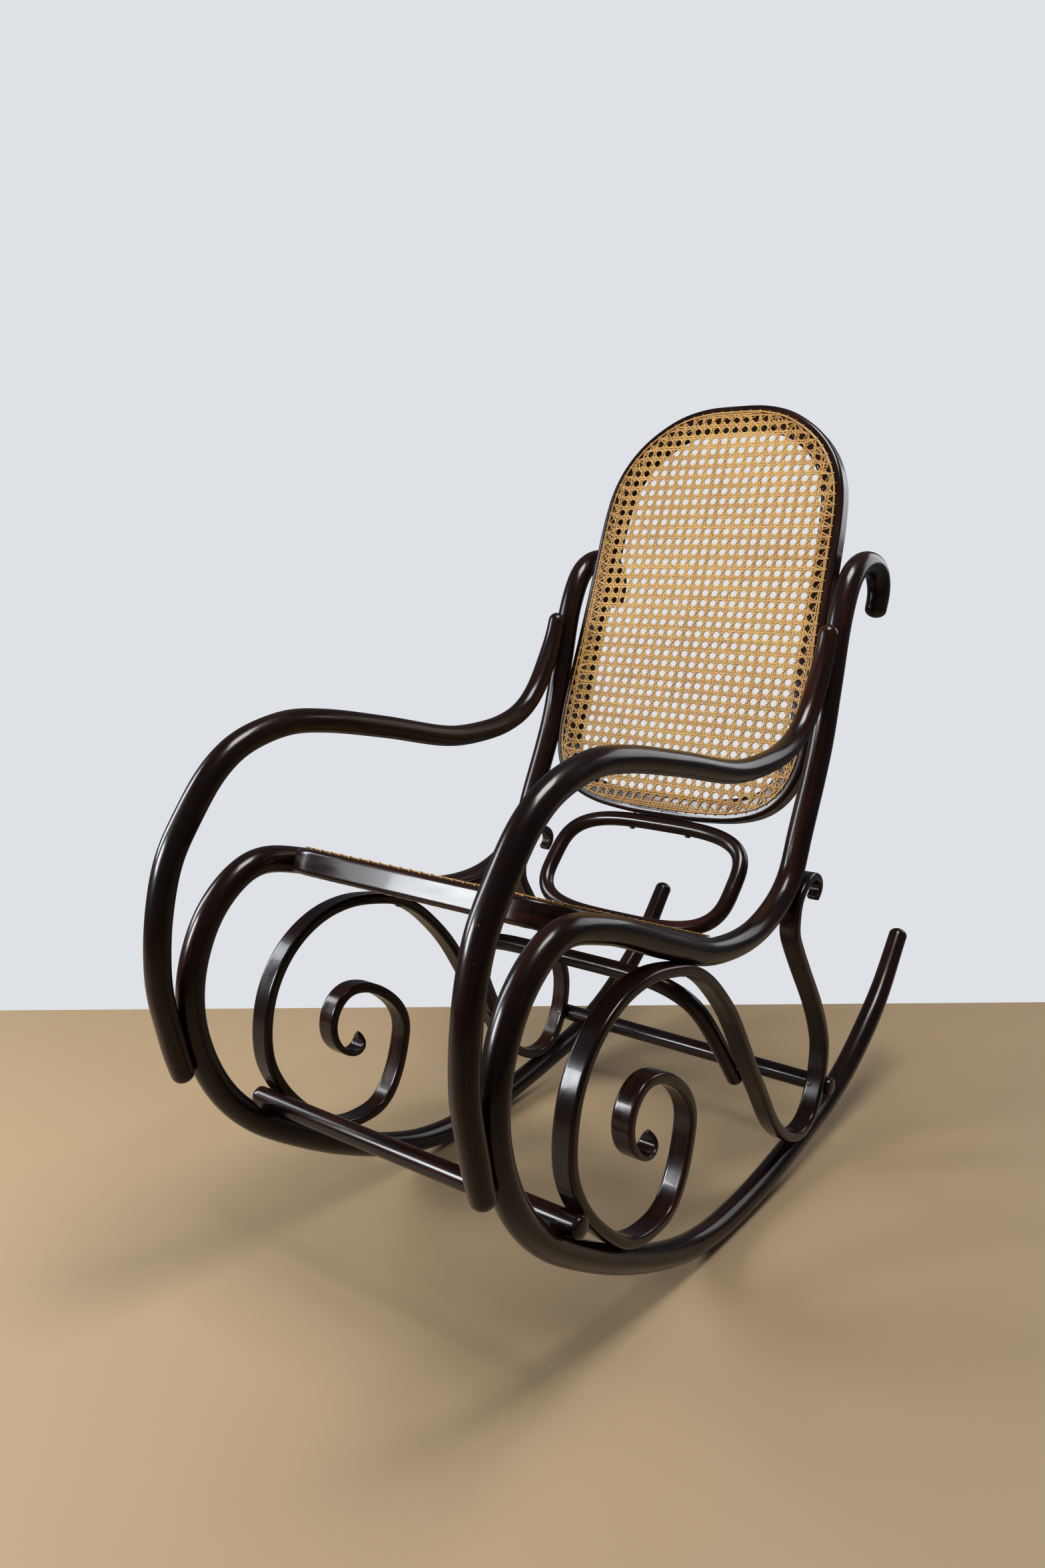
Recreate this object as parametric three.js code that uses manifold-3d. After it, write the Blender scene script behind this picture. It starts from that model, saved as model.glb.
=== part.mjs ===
// Bentwood rocking chair, millimetres, +Z up, the sitter faces -Y, +X is the sitter's left.
import * as THREE from 'three';
import { mergeVertices } from 'three/addons/utils/BufferGeometryUtils.js';
import Module from 'manifold-3d';

const wasm = await Module();
wasm.setup();

// ---- driving dimensions ----
const JOINT_GAP = 0.3;          // play left between touching pieces
const SIDE_X = 229;             // plane of the side members and arms
const SCROLL_X = 235;           // plane of the scrolls
const SIDE_R = 17;              // rod radius of the side members
const ARM_R = 15;               // rod radius of the arms
const STRETCHER_R = 12;         // rod radius of the stretchers
const STRETCHER_HALF = 256;     // half length of the stretchers
const ARCH_R = 11.5;            // rod radius of the under-seat arch
const RING_R = 11;              // rod radius of the lumbar ring
const STRIP_W = 28;             // scroll strip, across the chair
const STRIP_T = 14;             // scroll strip, in its plane
const SEAT_HALF = 211.5;        // seat frame, half width
const SEAT_LENGTH = 469;        // seat frame, front to rear along its slope
const SEAT_T = 31;              // seat frame, thickness
const SEAT_BAR = 36;            // seat frame, width of the bent bar
const SEAT_FRONT_R = 62;        // seat frame, front corner radius
const SEAT_REAR_R = 120;        // seat frame, rear corner radius
const BACK_T = 28;              // back frame, depth
const BACK_BAR = 34;            // back frame, width of the bent bar
const CANE_T = 2;               // woven panels, thickness
const CANE_INSET = 11;          // woven panels, distance in from the frame's outer edge
const BINDER_W = 6;             // binder cane, width
const BINDER_T = 1.6;           // binder cane, thickness
const BEVEL = 4;                // softened corner of the flat bars
const SCREW_R = 2;              // screw shank radius
const SCREW_HEAD_R = 4.5;       // screw head radius
const SCREW_HEAD_H = 3;         // screw head height
const SCREW_PROUD = 1;          // how far a head stands out of the wood
const HOLE_PLAY = 0.25;         // clearance round a screw
const ROD_SIDES = 8;            // facets round a rod
const STEP_LENGTH = 80;         // longest facet along a bend
const STEP_TURN = 0.4;          // largest turn between facets, radians

// Side member centreline in its plane, [y, z]: hook, post, seat rail, front loop and runner as
// far as the short flat the chair rests on, then from that flat to the rear tip.
const SIDE_FRONT = [
  [400, 801], [409, 829], [392, 860], [350, 870], [306, 855], [272, 803], [244, 707], [219, 622],
  [163, 506], [139, 457], [104, 428], [28, 404], [-85, 412], [-195, 453], [-320, 506], [-408, 523],
  [-470, 487], [-506, 424], [-514, 355], [-490, 272], [-440, 203], [-340, 129], [-230, 69],
  [-145, 35], [-100, 23], [-66, 17],
];
const SIDE_REAR = [[0, 17], [65, 20], [125, 27], [210, 40], [300, 57], [394, 93], [501, 162], [580, 246]];

// Arm centreline, [y, z], from the post to the front loop.
const ARM_PATH = [
  [231.5, 778], [220.3, 748], [196, 705], [169, 670], [137, 646], [90, 631], [24, 626], [-39, 630],
  [-171, 661], [-283, 684], [-345, 689], [-417, 674], [-460, 647], [-502, 598], [-530, 555],
  [-546, 505], [-554, 455], [-555, 405], [-545.2, 350], [-533.9, 300], [-532.0, 295.5],
];

// Scroll centreline, [y, z], from the small hook to the inner curl.
const SCROLL_PATH = [
  [204, 409], [214, 419], [212, 432], [196, 443], [172, 445], [151.6, 436.3], [137.2, 420.3], [132, 398],
  [132, 376], [146, 350], [170, 314], [216, 248], [240, 204], [251, 170], [249, 132], [236, 97],
  [212, 67.9], [180, 59.3], [148, 67], [118, 85], [86, 117], [49, 172], [14, 224], [-45, 316],
  [-85, 361], [-120, 391.5], [-157, 412.6], [-202, 426], [-250, 433], [-298, 428], [-340, 410],
  [-372, 382], [-394, 345], [-404, 300], [-402, 262], [-389, 228.5], [-368.5, 197], [-334, 160],
  [-298, 130.6], [-263.4, 117.6], [-235, 115], [-207, 118], [-187, 130], [-168, 157], [-155, 192],
  [-150, 225], [-161, 254], [-190, 284], [-225, 304], [-258, 308], [-280, 295], [-291, 271],
  [-287, 246], [-267, 223], [-247, 216], [-233, 226], [-237, 239],
];

// Under-seat arch centreline in its plane, [x, s], right half from the crown to the foot.
const ARCH_HALF = [
  [0, 172], [80, 171.5], [115, 169.5], [142, 163.5], [163, 153], [180, 137], [191, 112],
  [198.5, 74], [204.5, 32], [208.5, -6],
];
const ARCH_ORIGIN = [0, 28, 200];
const ARCH_LEAN = 0.54;         // under-seat arch, radians forward from upright

const FRONT_STRETCHER = [-399, 204.4];
const REAR_STRETCHER = [260.5, 103];

// Back frame outline in its plane, [x, s], right half from the top to the bottom.
const BACK_HALF = [
  [0, 311], [50, 309], [92, 298], [124, 280], [150, 259], [170, 235], [185, 208], [194.5, 180],
  [199, 152], [201.5, 120], [203, 80], [205, 0], [208, -70], [211, -130], [212.6, -190],
  [209.5, -233], [194.5, -273], [166, -302], [123, -318.5], [60, -326], [0, -327],
];
const BACK_ORIGIN = [0, 279.5, 810.5];
const BACK_LEAN = 0.335;        // back frame, radians from upright

const SEAT_ORIGIN = [0, -385, 548];
const SEAT_SLOPE = 0.375;       // seat frame, radians down to the rear

const RING_HALF = 152.5;         // lumbar ring centreline, half width
const RING_TOP = [178, 487.6];
const RING_BOTTOM = [61, 369.5];
const RING_POWER = 3.4;         // squareness of the oval

const LACQUER = { color: 0x2a1511, roughness: 0.22, metalness: 0 };
const CANE = { color: 0xc79a56, roughness: 0.55, metalness: 0 };
const STEEL = { color: 0x6b6660, roughness: 0.35, metalness: 0.9 };

// ---- planes ----
function plane(origin, along, up) {
  const e1 = new THREE.Vector3(...along).normalize();
  const e2 = new THREE.Vector3(...up).normalize();
  return { o: new THREE.Vector3(...origin), e1, e2, e3: new THREE.Vector3().crossVectors(e1, e2) };
}

function inPlane(pl, p, q, w = 0) {
  return pl.o.clone().addScaledVector(pl.e1, p).addScaledVector(pl.e2, q).addScaledVector(pl.e3, w);
}

const sidePlane = (x) => plane([x, 0, 0], [0, 1, 0], [0, 0, 1]);
const BACK_PLANE = plane(BACK_ORIGIN, [1, 0, 0], [0, Math.sin(BACK_LEAN), Math.cos(BACK_LEAN)]);
const SEAT_PLANE = plane(SEAT_ORIGIN, [1, 0, 0], [0, Math.cos(SEAT_SLOPE), -Math.sin(SEAT_SLOPE)]);

// ---- paths ----
// Points along a curve, closer together where it turns more.
function bendPoints(control, closed = false) {
  const curve = new THREE.CatmullRomCurve3(
    control.map(([p, q]) => new THREE.Vector3(p, q, 0)), closed, 'centripetal');
  const dense = curve.getPoints(control.length * 16);
  const cost = [0];
  for (let i = 1; i < dense.length; i += 1) {
    const step = dense[i].clone().sub(dense[i - 1]);
    const next = dense[(i + 1) % dense.length].clone().sub(dense[i]);
    const turn = i < dense.length - 1 ? step.angleTo(next) : 0;
    cost.push(cost[i - 1] + step.length() / STEP_LENGTH + turn / STEP_TURN);
  }
  const total = cost[cost.length - 1];
  const count = Math.ceil(total);
  const points = [];
  let k = 0;
  for (let i = 0; i < (closed ? count : count + 1); i += 1) {
    const want = (total * i) / count;
    while (k < cost.length - 2 && cost[k + 1] < want) k += 1;
    const f = Math.min(1, (want - cost[k]) / Math.max(1e-9, cost[k + 1] - cost[k]));
    points.push(new THREE.Vector2(
      dense[k].x + f * (dense[k + 1].x - dense[k].x),
      dense[k].y + f * (dense[k + 1].y - dense[k].y)));
  }
  return points;
}

const mirrored = (half) => [...half, ...half.slice(1, -1).reverse().map(([x, s]) => [-x, s])];
const wholeArch = (half) => [...half.slice(1).reverse().map(([x, s]) => [-x, s]), ...half];

// In-plane normals of a path, pointing to the left of travel.
function normals(path, closed) {
  return path.map((_, i) => {
    const a = path[closed ? (i - 1 + path.length) % path.length : Math.max(0, i - 1)];
    const b = path[closed ? (i + 1) % path.length : Math.min(path.length - 1, i + 1)];
    const t = b.clone().sub(a).normalize();
    return new THREE.Vector2(-t.y, t.x);
  });
}

function offsetPath(path, distance) {
  const n = normals(path, true);
  return path.map((p, i) => p.clone().addScaledVector(n[i], distance));
}

// ---- sections: [across the plane, in the plane] ----
function roundSection(radius) {
  return Array.from({ length: ROD_SIDES }, (_, i) => {
    const a = (2 * Math.PI * (i + 0.5)) / ROD_SIDES;
    return [radius * Math.cos(a), radius * Math.sin(a)];
  });
}

function barSection(width, height, bevel) {
  const w = width / 2;
  const h = height / 2;
  return [[w, -h + bevel], [w, h - bevel], [w - bevel, h], [-w + bevel, h],
    [-w, h - bevel], [-w, -h + bevel], [-w + bevel, -h], [w - bevel, -h]];
}

function stripSection(width, height) {
  const w = width / 2;
  const h = height / 2;
  return [[w, -h], [w, h], [-w, h], [-w, -h]];
}

// ---- solids ----
function toManifold(positions, triangles) {
  const mesh = new wasm.Mesh({
    numProp: 3,
    vertProperties: new Float32Array(positions),
    triVerts: new Uint32Array(triangles),
  });
  return new wasm.Manifold(mesh);
}

// Sweeps a section along a planar path; the two ends of an open path are rounded off.
function sweep(path, pl, section, { closed = false, endRound = 0, tip = null } = {}) {
  const n = normals(path, closed);
  const rings = [];
  const addRing = (centre, normal, scale) => {
    rings.push(section.map(([a, b]) => inPlane(pl,
      centre.x + normal.x * b * scale, centre.y + normal.y * b * scale, a * scale)));
  };
  const last = path.length - 1;
  const endRings = (i, outward) => {
    const t = new THREE.Vector2(n[i].y, -n[i].x).multiplyScalar(outward);
    return [0.6, 0.92].map((s) => [path[i].clone().addScaledVector(t, endRound * s),
      n[i], Math.sqrt(1 - s * s)]);
  };
  const scaleAt = (i) => (tip ? tip(i / last) : 1);
  if (!closed && endRound) {
    endRings(0, -1).reverse().forEach(([c, m, s]) => addRing(c, m, s * scaleAt(0)));
  }
  path.forEach((p, i) => addRing(p, n[i], scaleAt(i)));
  if (!closed && endRound) endRings(last, 1).forEach(([c, m, s]) => addRing(c, m, s * scaleAt(last)));
  const m = section.length;
  const positions = rings.flat().flatMap((v) => [v.x, v.y, v.z]);
  const triangles = [];
  const spans = closed ? rings.length : rings.length - 1;
  for (let i = 0; i < spans; i += 1) {
    const r0 = i * m;
    const r1 = ((i + 1) % rings.length) * m;
    for (let j = 0; j < m; j += 1) {
      const k = (j + 1) % m;
      triangles.push(r0 + j, r0 + k, r1 + j, r0 + k, r1 + k, r1 + j);
    }
  }
  if (!closed) {
    const end = (rings.length - 1) * m;
    for (let j = 1; j < m - 1; j += 1) {
      triangles.push(0, j + 1, j, end, end + j, end + j + 1);
    }
  }
  const solid = toManifold(positions, triangles);
  return solid.volume() > 0 ? solid : toManifold(positions, flipped(triangles));
}

function flipped(triangles) {
  const out = [];
  for (let i = 0; i < triangles.length; i += 3) out.push(triangles[i], triangles[i + 2], triangles[i + 1]);
  return out;
}

// A flat plate with the given outline, from height w0 to w1 across the plane.
function plate(outline, pl, w0, w1) {
  const path = THREE.ShapeUtils.area(outline) > 0 ? outline : [...outline].reverse();
  const shape = path.map((p) => [p.x, p.y]);
  const faces = THREE.ShapeUtils.triangulateShape(path, []).map(([a, b, c]) => {
    const turned = THREE.ShapeUtils.area([path[a], path[b], path[c]]) < 0;
    return turned ? [a, c, b] : [a, b, c];
  });
  const m = shape.length;
  const positions = [w0, w1].flatMap((w) => shape.flatMap(([p, q]) => inPlane(pl, p, q, w).toArray()));
  const triangles = [];
  faces.forEach(([a, b, c]) => triangles.push(a, c, b, m + a, m + b, m + c));
  for (let i = 0; i < m; i += 1) {
    const k = (i + 1) % m;
    triangles.push(i, k, m + k, i, m + k, m + i);
  }
  const solid = toManifold(positions, triangles);
  return solid.volume() > 0 ? solid : toManifold(positions, flipped(triangles));
}

function fromGeometry(source) {
  const bare = source.clone();
  bare.deleteAttribute('normal');
  bare.deleteAttribute('uv');
  const merged = mergeVertices(bare, 1e-4);
  return toManifold(merged.attributes.position.array, merged.index.array);
}

// A cone or cylinder of radius r0 at one point and r1 at the other.
function cylinderBetween(from, to, r0, r1, sides) {
  const axis = to.clone().sub(from);
  const geometry = new THREE.CylinderGeometry(r1, r0, axis.length(), sides);
  geometry.applyQuaternion(new THREE.Quaternion().setFromUnitVectors(
    new THREE.Vector3(0, 1, 0), axis.normalize()));
  const middle = from.clone().add(to).multiplyScalar(0.5);
  geometry.translate(middle.x, middle.y, middle.z);
  return fromGeometry(geometry);
}

// ---- screws: from = point on the wood's surface, dir = into the wood ----
const screws = [];
function screw(name, from, dir, length) {
  const origin = new THREE.Vector3(...from);
  const d = new THREE.Vector3(...dir).normalize();
  screws.push({ name, origin, d, length });
}

function screwSolid({ origin, d, length }, play) {
  const at = (t) => origin.clone().addScaledVector(d, t);
  const headTop = play ? -STRIP_T : -SCREW_PROUD;
  const neck = SCREW_HEAD_H - SCREW_PROUD;
  const head = cylinderBetween(at(headTop), at(neck + play),
    (play ? SCREW_HEAD_R : SCREW_HEAD_R * 0.7) + play, SCREW_HEAD_R + play, ROD_SIDES);
  const shank = cylinderBetween(at(neck - 0.5), at(length + play), SCREW_R + play, SCREW_R + play, 5);
  return head.add(shank);
}

// ---- the pieces ----
const pieces = [];
const piece = (name, solid, look) => pieces.push({ name, solid, look });

function addSides() {
  for (const [suffix, sign] of [['left', 1], ['right', -1]]) {
    const side = sidePlane(sign * SIDE_X);
    const path = [...bendPoints(SIDE_FRONT), ...bendPoints(SIDE_REAR)];
    piece(`side_member_${suffix}`, sweep(path, side, roundSection(SIDE_R),
      { endRound: 8 }), LACQUER);
    piece(`arm_${suffix}`, sweep(bendPoints(ARM_PATH), side, roundSection(ARM_R),
      { endRound: 12 }), LACQUER);
    const taper = (t) => Math.min(1, 0.62 + 6 * t, 0.55 + 5 * (1 - t));
    piece(`scroll_${suffix}`, sweep(bendPoints(SCROLL_PATH), sidePlane(sign * SCROLL_X),
      barSection(STRIP_W, STRIP_T, BEVEL), { endRound: 5, tip: taper }), LACQUER);
  }
}

function addStretchers() {
  for (const [name, [y, z]] of [['front_stretcher', FRONT_STRETCHER], ['rear_stretcher', REAR_STRETCHER]]) {
    const across = plane([0, y, z], [1, 0, 0], [0, 0, 1]);
    const half = STRETCHER_HALF - 5;
    const path = [new THREE.Vector2(-half, 0), new THREE.Vector2(half, 0)];
    piece(name, sweep(path, across, roundSection(STRETCHER_R), { endRound: 5 }), LACQUER);
  }
}

function addArch() {
  const across = plane(ARCH_ORIGIN, [1, 0, 0], [0, -Math.sin(ARCH_LEAN), Math.cos(ARCH_LEAN)]);
  piece('under_seat_arch', sweep(bendPoints(wholeArch(ARCH_HALF)), across, roundSection(ARCH_R),
    { endRound: 6 }), LACQUER);
}

function roundedRectangle() {
  const shape = new THREE.Shape();
  shape.moveTo(0, 0);
  shape.lineTo(SEAT_HALF - SEAT_FRONT_R, 0);
  shape.absarc(SEAT_HALF - SEAT_FRONT_R, SEAT_FRONT_R, SEAT_FRONT_R, -Math.PI / 2, 0);
  shape.lineTo(SEAT_HALF, SEAT_LENGTH - SEAT_REAR_R);
  shape.absarc(SEAT_HALF - SEAT_REAR_R, SEAT_LENGTH - SEAT_REAR_R, SEAT_REAR_R, 0, Math.PI / 2);
  shape.lineTo(0, SEAT_LENGTH);
  const half = shape.getPoints(4).filter((p, i, all) => i === 0 || p.distanceTo(all[i - 1]) > 1);
  const left = half.slice(1, -1).reverse().map((p) => new THREE.Vector2(-p.x, p.y));
  return [...half, ...left];
}

// A bent ring with its woven panel and binder lying on its e3 face.
function addCanedFrame(prefix, outline, pl, bar, thickness) {
  const inward = THREE.ShapeUtils.area(outline) > 0 ? 1 : -1;
  const middle = offsetPath(outline, (inward * bar) / 2);
  const shifted = { ...pl, o: inPlane(pl, 0, 0, -thickness / 2) };
  piece(`${prefix}_frame`, sweep(middle, shifted, barSection(thickness, bar, BEVEL), { closed: true }), LACQUER);
  const caneTop = JOINT_GAP + CANE_T;
  piece(`${prefix}_cane`, plate(offsetPath(outline, inward * CANE_INSET), pl, JOINT_GAP, caneTop), CANE);
  const binder = { ...pl, o: inPlane(pl, 0, 0, caneTop + JOINT_GAP + BINDER_T / 2) };
  piece(`${prefix}_binder`, sweep(offsetPath(outline, inward * (CANE_INSET + BINDER_W / 2)), binder,
    stripSection(BINDER_T, BINDER_W), { closed: true }), CANE);
}

function addSeatAndBack() {
  addCanedFrame('seat', roundedRectangle(), SEAT_PLANE, SEAT_BAR, SEAT_T);
  addCanedFrame('back', bendPoints(mirrored(BACK_HALF), true), BACK_PLANE, BACK_BAR, BACK_T);
}

function addRing() {
  const rise = [RING_TOP[0] - RING_BOTTOM[0], RING_TOP[1] - RING_BOTTOM[1]];
  const half = Math.hypot(...rise) / 2;
  const centre = [0, (RING_TOP[0] + RING_BOTTOM[0]) / 2, (RING_TOP[1] + RING_BOTTOM[1]) / 2];
  const oval = Array.from({ length: 32 }, (_, i) => {
    const a = (2 * Math.PI * i) / 32;
    const bulge = (v) => Math.sign(v) * Math.abs(v) ** (2 / RING_POWER);
    return [RING_HALF * bulge(Math.cos(a)), half * bulge(Math.sin(a))];
  });
  piece('lumbar_ring', sweep(bendPoints(oval, true), plane(centre, [1, 0, 0], [0, ...rise]),
    roundSection(RING_R), { closed: true }), LACQUER);
}

function addScrews() {
  const seatInside = SEAT_HALF - SEAT_BAR;
  for (const [suffix, sign] of [['left', 1], ['right', -1]]) {
    const x = sign * SIDE_X;
    screw(`arm_post_screw_${suffix}`, [x, 271.8, 751.1], [0, -0.958, 0.285], 52);
    screw(`arm_loop_screw_${suffix}`, [x, -486.1, 305.3], [0, -0.95, -0.2], 50);
    screw(`scroll_hook_screw_${suffix}`, [x, 145, 419], [0, -0.72, 0.5], 28);
    screw(`scroll_rail_screw_${suffix}`, [x, -155, 404], [0, 0.36, 0.93], 30);
    screw(`scroll_runner_front_screw_${suffix}`, [x, -283.0, 131.7], [0, -0.42, -0.9], 30);
    screw(`scroll_runner_rear_screw_${suffix}`, [x, 172.2, 67.2], [0, 0.12, -1], 30);
    screw(`front_stretcher_screw_${suffix}`, [x, -389, 214], [0, -0.72, -0.7], 36);
    screw(`rear_stretcher_screw_${suffix}`, [x, 234.7, 111.5], [0, 0.95, -0.3], 28);
    screw(`back_upper_screw_${suffix}`, [sign * 177.6, 236.8, 656], [sign, 0, 0], 52);
    screw(`back_lower_screw_${suffix}`, [sign * 177, 220.3, 607], [sign, 0, 0], 52);
    screw(`seat_front_screw_${suffix}`, [sign * seatInside, -300, 497], [sign, 0, 0], 52);
    screw(`seat_rear_screw_${suffix}`, [sign * seatInside, -120, 425], [sign, 0, 0], 52);
    screw(`arch_screw_${suffix}`, [sign * 194.9, 18.7, 215.4], [sign, 0, 0], 34);
    screw(`ring_top_screw_${suffix}`, [sign * 48, 174.3, 476.3], [0, 0.335, 0.94], 36);
    screw(`ring_bottom_screw_${suffix}`, [sign * 45, 71.5, 366], [0, -0.93, 0.366], 40);
  }
}

// Cuts every screw hole out of the wood it passes through, then adds the screws.
function drillAndFit() {
  for (const s of screws) {
    const hole = screwSolid(s, HOLE_PLAY);
    for (const p of pieces) {
      if (p.look === STEEL) continue;
      const cut = p.solid.intersect(hole);
      if (cut.volume() > 1e-3) p.solid = p.solid.subtract(hole);
    }
  }
  for (const s of screws) piece(s.name, screwSolid(s, 0), STEEL);
}

// The origin is the middle of the chair's footprint, on the floor.
function footprintMiddle() {
  const box = new THREE.Box3();
  for (const { solid } of pieces) {
    const { min, max } = solid.boundingBox();
    box.expandByPoint(new THREE.Vector3(...min)).expandByPoint(new THREE.Vector3(...max));
  }
  const centre = box.getCenter(new THREE.Vector3());
  return [centre.x, centre.y, box.min.z];
}

function toMesh({ name, solid, look }, origin) {
  const data = solid.translate(origin.map((v) => -v)).getMesh();
  const geometry = new THREE.BufferGeometry();
  geometry.setAttribute('position', new THREE.BufferAttribute(new Float32Array(data.vertProperties), 3));
  geometry.setIndex(new THREE.BufferAttribute(new Uint32Array(data.triVerts), 1));
  geometry.computeVertexNormals();
  const mesh = new THREE.Mesh(geometry, new THREE.MeshStandardMaterial(look));
  mesh.name = name;
  return mesh;
}

addSides();
addStretchers();
addArch();
addSeatAndBack();
addRing();
addScrews();
drillAndFit();

const chair = new THREE.Group();
chair.name = 'bentwood_rocking_chair';
const origin = footprintMiddle();
for (const p of pieces) chair.add(toMesh(p, origin));

export default chair;
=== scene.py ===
"""A bentwood rocking chair with a hand-caned seat and back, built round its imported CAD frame.

Sizes are in millimetres until a mesh is made, and every mesh is in metres. +Z is up, the sitter
faces -Y, and paths are written in the chair's own side, seat and back planes.
"""

import itertools
import math

import bmesh
import bpy
import numpy as np
from mathutils import Matrix, Vector


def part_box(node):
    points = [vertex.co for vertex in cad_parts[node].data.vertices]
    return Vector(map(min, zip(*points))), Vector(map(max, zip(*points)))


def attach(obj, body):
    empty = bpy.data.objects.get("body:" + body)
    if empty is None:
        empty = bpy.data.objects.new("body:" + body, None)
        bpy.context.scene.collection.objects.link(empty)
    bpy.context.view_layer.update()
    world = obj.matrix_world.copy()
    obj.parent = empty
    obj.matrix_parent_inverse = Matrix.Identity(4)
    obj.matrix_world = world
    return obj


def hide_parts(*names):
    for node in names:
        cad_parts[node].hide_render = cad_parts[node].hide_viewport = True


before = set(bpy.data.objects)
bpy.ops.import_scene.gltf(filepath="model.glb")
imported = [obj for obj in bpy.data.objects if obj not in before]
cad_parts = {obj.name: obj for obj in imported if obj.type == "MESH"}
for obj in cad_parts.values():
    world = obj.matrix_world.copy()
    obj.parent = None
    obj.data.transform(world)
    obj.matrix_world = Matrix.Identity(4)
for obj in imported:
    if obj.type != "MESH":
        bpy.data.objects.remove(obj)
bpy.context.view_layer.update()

MM = 0.001
STEP = 4.0              # distance between the points of a line

# ---- rods: [y, z] in the side planes ----
SIDE_X = 229
SCROLL_X = 235
SIDE_R = 17
ARM_R = 15
STRETCHER_R = 13
STRETCHER_HALF = 256
ARCH_R = 11.5
RING_R = 11
STRIP_W = 28
STRIP_T = 14
STRIP_ROUND = 4.2
SIDE_CAP = 11           # how far a rod's domed end stands past its path
ARM_CAP = 13
SCROLL_CAP = 2
STRETCHER_CAP = 3
ARCH_CAP = 9
SIDE_ENDS = (0.92, 0.86, 0.02, 0.07)    # size at each tip, then the reach of each narrowing
ARM_ENDS = (0.88, 0.94, 0.06, 0.04)
LEAF_REACH = 0.014      # share of a scroll's length over which its curl narrows to a point
LEAF_TIP = 0.03         # square of the share of its width that is left there

SIDE_PATH = [
    [400, 801], [409, 829], [392, 860], [350, 870], [306, 855], [272, 803], [244, 707], [219, 622],
    [163, 506], [139, 457], [104, 428], [28, 404], [-85, 412], [-195, 453], [-320, 506],
    [-408, 523], [-470, 487], [-506, 424], [-514, 355], [-490, 272], [-440, 203], [-340, 129],
    [-230, 69], [-145, 35.5], [-100, 24.5], [-55, 18.3], [-10, 17], [35, 18], [80, 21.3], [125, 27],
    [210, 40], [300, 57], [394, 93], [501, 162], [580, 246],
]
ARM_PATH = [
    [231.5, 778], [220.3, 748], [196, 705], [169, 670], [137, 646], [90, 631], [24, 626],
    [-39, 630], [-171, 661], [-283, 684], [-345, 689], [-417, 674], [-460, 647], [-502, 598],
    [-530, 555], [-546, 505], [-554, 455], [-555, 405], [-545.2, 350], [-533.9, 300],
    [-532.0, 295.5],
]
SCROLL_PATH = [
    [204, 409], [214, 419], [212, 432], [196, 443], [172, 445], [151.6, 436.3], [137.2, 420.3],
    [132, 398], [132, 376], [146, 350], [170, 314], [216, 248], [240, 204], [251, 170], [249, 132],
    [236, 97], [212, 67.9], [180, 59.3], [148, 67], [118, 85], [86, 117], [49, 172], [14, 224],
    [-45, 316], [-85, 361], [-120, 391.5], [-157, 412.6], [-202, 426], [-250, 433], [-298, 428],
    [-340, 410], [-372, 382], [-394, 345], [-404, 300], [-402, 262], [-389, 228.5], [-368.5, 197],
    [-334, 160], [-298, 130.6], [-263.4, 117.6], [-235, 115], [-207, 118], [-187, 130],
    [-168, 157], [-155, 192], [-150, 225], [-161, 254], [-190, 284], [-225, 304], [-258, 308],
    [-280, 295], [-291, 271], [-287, 246], [-267, 223], [-247, 216], [-233, 226], [-237, 239],
]
FRONT_STRETCHER = [-399, 204.4]
REAR_STRETCHER = [260.5, 103]
ARCH_HALF = [  # [x, up the arch], from the crown to the foot
    [0, 172], [80, 171.5], [115, 169.5], [142, 163.5], [163, 153], [180, 137], [191, 112],
    [198.5, 74], [204.5, 32], [208.5, -6],
]
ARCH_ORIGIN = [0, 28, 200]
ARCH_LEAN = 0.54
RING_HALF = 152.5
RING_TOP = [178, 487.6]
RING_BOTTOM = [61, 369.5]
RING_POWER = 3.4        # squareness of the oval

# ---- the two caned frames ----
BACK_HALF = [  # [x, along the back], from the top to the bottom
    [0, 311], [50, 309], [92, 298], [124, 280], [150, 259], [170, 235], [185, 208], [194.5, 180],
    [199, 152], [201.5, 120], [203, 80], [205, 0], [208, -70], [211, -130], [212.6, -190],
    [209.5, -233], [194.5, -273], [166, -302], [123, -318.5], [60, -326], [0, -327],
]
BACK_ORIGIN = [0, 279.5, 810.5]
BACK_LEAN = 0.335
BACK_T = 28
BACK_BAR = 34
SEAT_ORIGIN = [0, -385, 548]
SEAT_SLOPE = 0.375
SEAT_HALF = 211.5
SEAT_LENGTH = 469
SEAT_T = 31
SEAT_BAR = 36
SEAT_FRONT_R = 62
SEAT_REAR_R = 120
BAR_ROUND = 5.5

# ---- cane ----
HOLE_LINE = 12.8        # drilled holes, distance in from the frame's outer edge
PITCH = 15.9            # drilled holes, centre to centre
ROWS_FROM = 8.0         # the first row of holes, from the panel's origin
PAIR_HALF = 1.7         # a strand's distance from the middle of its pair
CROSSED = 1.9           # a strand is level again this far from one that it crosses
STRAND_W = 2.9
DIAGONAL_W = 2.2
STRAND_T = 0.55
STRAND_SHAPE = [[-0.5, -0.5], [-0.3, 0.5], [0.3, 0.5], [0.5, -0.5]]  # of its width and thickness
WEAVE_LIFT = 0.5        # how far a strand bends over or under a crossing one
WEAVE_BEND = 1.1        # half the length of that bend, roughly
DIAGONAL_LIFT = 0.75
PLACE_WOBBLE = 0.15     # how far a strand may lie from its place
DIAGONAL_WOBBLE = 0.2
WIDTH_WOBBLE = (0.92, 1.06)
END_CLEAR = 1           # no point of a strand is nearer to its ends than this
SHORTEST_RUN = 0.7      # shortest strand made, in pitches
PULL_REACH = 1.25       # how far from its end a strand is drawn to its hole, in pitches
LEFT_AT_HOLE = 0.15     # share of its bends that a strand keeps at its hole
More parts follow.
